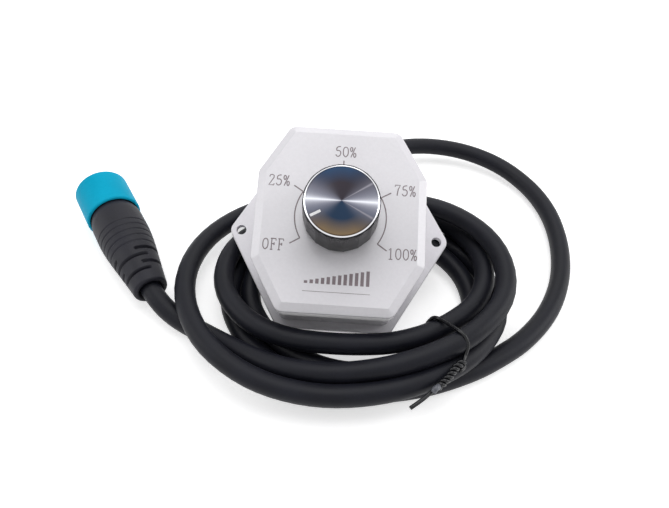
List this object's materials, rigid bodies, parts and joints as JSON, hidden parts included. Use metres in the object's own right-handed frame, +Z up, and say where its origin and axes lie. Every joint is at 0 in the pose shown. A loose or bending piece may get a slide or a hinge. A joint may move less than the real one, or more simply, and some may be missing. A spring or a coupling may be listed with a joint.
{
  "type": "grow light dimmer",
  "caption": "Hexagonal wall-mount dimmer box with a fluted rotary knob, coiled cable and a waterproof connector with a turning coupling nut.",
  "frame": {"origin": "On the floor under the middle of the leaning box's bounding box, cable and plug left out.", "axes": "+X to the right of a person facing the knob, +Y away from that person, +Z up. The box leans back 29 degrees from lying flat, on its own coiled cable."},
  "size_m": [0.2082, 0.1416, 0.0614],
  "materials": {
    "base_plastic": "moulded, glossy",
    "cover_plastic": "moulded, semi-gloss",
    "seal_rubber": "smooth",
    "screw_steel": "zinc plated",
    "sleeve_rubber": "satin",
    "jacket": "extruded, satin with a slight sheen",
    "core_insulation": "smooth",
    "pot_metal": "nickel plated",
    "wafer_board": "pressed board",
    "lug_metal": "tinned",
    "rotor_plastic": "moulded",
    "wiper_metal": "spring sheet",
    "shaft_metal": "turned",
    "nut_metal": "nickel plated",
    "knob_plastic": "moulded, satin",
    "insert_brass": "turned",
    "cap_metal": "spun face, bright bevel",
    "pointer_paint": "paint fill",
    "tie_plastic": "coated wire",
    "plug_rubber": "moulded, satin",
    "coupling_plastic": "moulded, satin",
    "carrier_plastic": "moulded",
    "pin_metal": "plated"
  },
  "bodies": {
    "housing": {"base_shell": "base_plastic", "front_cover": "cover_plastic", "cover_seal": "seal_rubber", "cover_screws": "screw_steel", "cable_sleeve": "sleeve_rubber", "inner_jacket": "jacket", "inner_cores": "core_insulation", "pot_bushing": "pot_metal", "pot_wafer": "wafer_board", "pot_lugs": "lug_metal", "pot_can": "pot_metal", "pot_washer": "nut_metal", "pot_nut": "nut_metal", "cord_exit_loop": "jacket", "cord_coil": "jacket", "cord_plug_lead": "jacket", "twist_tie": "tie_plastic", "plug_body": "plug_rubber", "contact_carrier": "carrier_plastic", "contact_pins": "pin_metal", "plug_seal": "seal_rubber"},
    "knob": {"knob_body": "knob_plastic", "knob_cap": "cap_metal", "pointer_line": "pointer_paint", "knob_insert": "insert_brass", "pot_shaft": "shaft_metal", "pot_rotor": "rotor_plastic", "pot_wiper": "wiper_metal"},
    "coupling_nut": {"coupling_nut": "coupling_plastic"}
  },
  "joints": [
    {"name": "knob_turn", "type": "hinge", "parent": "housing", "child": "knob", "pos_m": [0, -0.00968, 0.04393], "axis": [0, -0.4848, 0.8746], "range_deg": [-240, 0]},
    {"name": "nut_turn", "type": "hinge", "parent": "housing", "child": "coupling_nut", "pos_m": [-0.09682, 0.02265, 0.01112], "axis": [-0.5571, 0.8291, 0.0476], "continuous": true}
  ]
}
